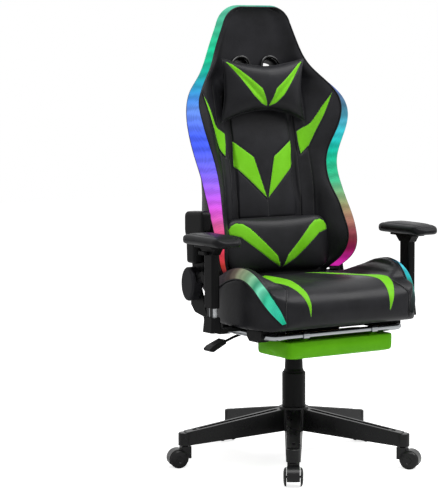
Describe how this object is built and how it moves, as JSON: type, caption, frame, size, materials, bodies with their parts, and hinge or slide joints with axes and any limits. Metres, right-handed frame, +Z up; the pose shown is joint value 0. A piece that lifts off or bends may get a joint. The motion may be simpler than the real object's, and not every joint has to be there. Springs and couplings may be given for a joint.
{
  "type": "office chair",
  "caption": "High-backed swivel office chair with side wings, pillows, light strips, height-adjustable armrests, reclining back and pull-out footrest on a star base.",
  "frame": {"origin": "on the floor on the axis of the gas lift", "axes": "+Z up, the sitter faces -Y, the sitter's left is +X"},
  "size_m": [0.716, 0.6563, 1.2386],
  "materials": {
    "base_plastic": "moulded nylon, satin",
    "wheel_plastic": "moulded, satin",
    "trim_plastic": "moulded, fine texture",
    "grey_plastic": "moulded, satin",
    "coated_steel": "black powder coat",
    "grey_steel": "light grey paint",
    "plated_steel": "zinc plated",
    "chrome": "polished",
    "leather": "smooth synthetic leather over foam, stitched",
    "green_leather": "synthetic leather over foam",
    "light_strip": "translucent diffuser over light strip",
    "elastic": "woven elastic band",
    "plywood": "bare board"
  },
  "bodies": {
    "base": {"star_base": "base_plastic", "gas_cylinder": "coated_steel", "cover_lower": "base_plastic"},
    "column": {"piston_rod": "chrome"},
    "cover": {"cover_upper": "base_plastic"},
    "swivel": {"mechanism_housing": "coated_steel", "tilt_pin": "plated_steel", "tilt_spring": "plated_steel"},
    "seat": {"mechanism_plate": "coated_steel", "seat_frame": "coated_steel", "seat_pan": "plywood", "seat_cushion": "leather", "seat_led_left": "light_strip", "seat_led_right": "light_strip", "footrest_guides": "trim_plastic", "arm_brackets": "coated_steel", "arm_boots": "trim_plastic", "arm_posts": "grey_steel", "recliner_plates": "coated_steel", "recliner_gear": "plated_steel", "recliner_cover_right": "grey_plastic"},
    "lift_lever": {"lift_lever_rod": "coated_steel", "lift_lever_paddle": "trim_plastic"},
    "back": {"back_frame": "coated_steel", "back_pad": "leather", "slot_liners": "trim_plastic", "back_led": "light_strip", "speaker_left": "trim_plastic", "speaker_right": "trim_plastic", "back_arm_cover": "grey_plastic", "recliner_cover_left": "trim_plastic"},
    "recline_lever": {"recline_lever_bar": "coated_steel", "recline_lever_grip": "trim_plastic"},
    "footrest": {"footrest_frame": "chrome"},
    "footpad": {"footrest_board": "plywood", "footrest_pad": "green_leather"},
    "head": {"head_pillow": "leather", "head_strap": "elastic"},
    "lumbar": {"lumbar_pillow": "leather"},
    "arm_left": {"arm_sleeve_left": "trim_plastic", "arm_pad_left": "trim_plastic"},
    "button_left": {"arm_button_left": "trim_plastic"},
    "arm_right": {"arm_sleeve_right": "trim_plastic", "arm_pad_right": "trim_plastic"},
    "button_right": {"arm_button_right": "trim_plastic"},
    "castor_1": {"castor_1_hood": "wheel_plastic"},
    "wheels_1": {"castor_1_wheels": "wheel_plastic"},
    "castor_2": {"castor_2_hood": "wheel_plastic"},
    "wheels_2": {"castor_2_wheels": "wheel_plastic"},
    "castor_3": {"castor_3_hood": "wheel_plastic"},
    "wheels_3": {"castor_3_wheels": "wheel_plastic"},
    "castor_4": {"castor_4_hood": "wheel_plastic"},
    "wheels_4": {"castor_4_wheels": "wheel_plastic"},
    "castor_5": {"castor_5_hood": "wheel_plastic"},
    "wheels_5": {"castor_5_wheels": "wheel_plastic"}
  },
  "joints": [
    {"name": "seat_height", "type": "slide", "parent": "base", "child": "column", "axis": [0, 0, 1], "range_m": [-0.01, 0.07]},
    {"name": "cover_lift", "type": "slide", "parent": "base", "child": "cover", "axis": [0, 0, 1], "range_m": [-0.005, 0.035]},
    {"name": "seat_swivel", "type": "hinge", "parent": "column", "child": "swivel", "pos_m": [0, 0, 0.303], "axis": [0, 0, 1], "continuous": true},
    {"name": "seat_tilt", "type": "hinge", "parent": "swivel", "child": "seat", "pos_m": [0, -0.032, 0.354], "axis": [-1, 0, 0], "range_deg": [0, 12], "stiffness_Nm_per_rad": 120, "springref_deg": -20.05},
    {"name": "lift_lever_rock", "type": "hinge", "parent": "seat", "child": "lift_lever", "pos_m": [-0.054, 0.005, 0.364], "axis": [0, 1, 0], "range_deg": [0, 3], "stiffness_Nm_per_rad": 6, "springref_deg": -4.58},
    {"name": "back_recline", "type": "hinge", "parent": "seat", "child": "back", "pos_m": [0, 0.128, 0.489], "axis": [-1, 0, 0], "range_deg": [0, 55]},
    {"name": "recline_lever_lift", "type": "hinge", "parent": "seat", "child": "recline_lever", "pos_m": [-0.2485, 0.128, 0.489], "axis": [-1, 0, 0], "range_deg": [0, 15], "stiffness_Nm_per_rad": 3, "springref_deg": -8.59},
    {"name": "footrest_slide", "type": "slide", "parent": "seat", "child": "footrest", "axis": [0, -1, 0], "range_m": [0, 0.18]},
    {"name": "footpad_flip", "type": "hinge", "parent": "footrest", "child": "footpad", "pos_m": [0, -0.209, 0.377], "axis": [-1, 0, 0], "range_deg": [0, 180]},
    {"name": "arm_height_left", "type": "slide", "parent": "seat", "child": "arm_left", "axis": [0, 0, 1], "range_m": [-0.02, 0.05]},
    {"name": "arm_release_left", "type": "slide", "parent": "arm_left", "child": "button_left", "axis": [-1, 0, 0], "range_m": [0, 0.003], "stiffness_N_per_m": 400, "springref_m": -0.002},
    {"name": "arm_height_right", "type": "slide", "parent": "seat", "child": "arm_right", "axis": [0, 0, 1], "range_m": [-0.02, 0.05]},
    {"name": "arm_release_right", "type": "slide", "parent": "arm_right", "child": "button_right", "axis": [1, 0, 0], "range_m": [0, 0.003], "stiffness_N_per_m": 400, "springref_m": -0.002},
    {"name": "head_pillow_slide", "type": "slide", "parent": "back", "child": "head", "axis": [0, 0, 1], "range_m": [-0.01, 0.035]},
    {"name": "lumbar_slide", "type": "slide", "parent": "back", "child": "lumbar", "axis": [0, 0.106, 0.9944], "range_m": [0, 0.04]},
    {"name": "castor_turn_1", "type": "hinge", "parent": "base", "child": "castor_1", "pos_m": [-0.1742, -0.25158, 0.057], "axis": [0, 0, 1], "continuous": true},
    {"name": "wheel_roll_1", "type": "hinge", "parent": "castor_1", "child": "wheels_1", "pos_m": [-0.18672, -0.26966, 0.025], "axis": [0.8221, -0.5693, 0], "continuous": true},
    {"name": "castor_turn_2", "type": "hinge", "parent": "base", "child": "castor_2", "pos_m": [0.18543, -0.24341, 0.057], "axis": [0, 0, 1], "continuous": true},
    {"name": "wheel_roll_2", "type": "hinge", "parent": "castor_2", "child": "wheels_2", "pos_m": [0.19876, -0.26092, 0.025], "axis": [0.7955, 0.606, 0], "continuous": true},
    {"name": "castor_turn_3", "type": "hinge", "parent": "base", "child": "castor_3", "pos_m": [0.2888, 0.10114, 0.057], "axis": [0, 0, 1], "continuous": true},
    {"name": "wheel_roll_3", "type": "hinge", "parent": "castor_3", "child": "wheels_3", "pos_m": [0.30957, 0.10841, 0.025], "axis": [-0.3305, 0.9438, 0], "continuous": true},
    {"name": "castor_turn_4", "type": "hinge", "parent": "base", "child": "castor_4", "pos_m": [-0.00694, 0.30592, 0.057], "axis": [0, 0, 1], "continuous": true},
    {"name": "wheel_roll_4", "type": "hinge", "parent": "castor_4", "child": "wheels_4", "pos_m": [-0.00744, 0.32792, 0.025], "axis": [-0.9997, -0.0227, 0], "continuous": true},
    {"name": "castor_turn_5", "type": "hinge", "parent": "base", "child": "castor_5", "pos_m": [-0.29309, 0.08793, 0.057], "axis": [0, 0, 1], "continuous": true},
    {"name": "wheel_roll_5", "type": "hinge", "parent": "castor_5", "child": "wheels_5", "pos_m": [-0.31417, 0.09425, 0.025], "axis": [-0.2874, -0.9578, 0], "continuous": true}
  ],
  "couplings": [
    {"joint": "cover_lift", "follows": "seat_height", "ratio": 0.5},
    {"joint": "footpad_flip", "follows": "footrest_slide", "rad_per_m": 17.453}
  ]
}
